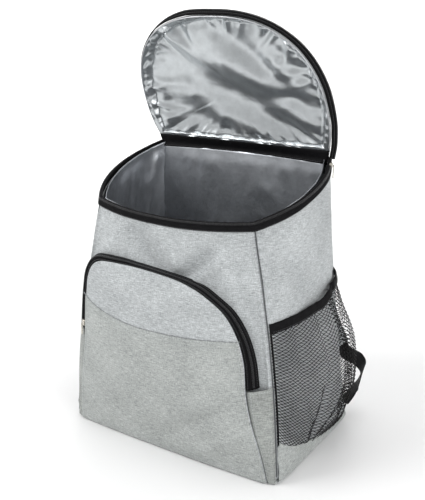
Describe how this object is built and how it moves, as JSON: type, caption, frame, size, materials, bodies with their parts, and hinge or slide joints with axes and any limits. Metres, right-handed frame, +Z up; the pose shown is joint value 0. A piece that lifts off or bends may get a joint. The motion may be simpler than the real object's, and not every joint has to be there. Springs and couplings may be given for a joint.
{
  "type": "cooler backpack",
  "caption": "Insulated cooler backpack standing open: padded cloth body, foil liner, arched lid, zipped front pocket, net side pockets and padded shoulder straps.",
  "frame": {"origin": "middle of the base, on the surface the bag stands on", "axes": "+X to the right of the bag as seen from its front, +Y from the front towards the wearer's back, +Z up"},
  "size_m": [0.3832, 0.2945, 0.556],
  "materials": {
    "heather_cloth": "light blue-grey heather canvas",
    "foil": "silver foil laminate, glossy and creased",
    "black_tape": "black woven tape",
    "net": "black knotted net",
    "nickel": "polished nickel"
  },
  "bodies": {
    "root": {"front_panel": "heather_cloth", "side_panel_right": "heather_cloth", "back_panel": "heather_cloth", "side_panel_left": "heather_cloth", "base_panel": "heather_cloth", "liner": "foil", "mouth_zip": "black_tape", "lid_panel": "heather_cloth", "lid_lining": "foil", "lid_zip": "black_tape", "lid_piping": "foil", "lid_hinge": "black_tape", "pocket_face": "heather_cloth", "slip_pocket": "heather_cloth", "pocket_zip": "black_tape", "pocket_gusset_left": "heather_cloth", "pocket_gusset_right": "heather_cloth", "main_slider": "nickel", "main_pull": "nickel", "pocket_slider": "nickel", "pocket_pull": "nickel", "net_pocket_right": "net", "net_pocket_left": "net", "net_binding_right": "black_tape", "net_binding_left": "black_tape", "side_skirt_right": "heather_cloth", "side_skirt_left": "heather_cloth", "shoulder_strap_right": "heather_cloth", "shoulder_strap_left": "heather_cloth", "strap_webbing_right": "black_tape", "strap_webbing_left": "black_tape"}
  },
  "joints": []
}
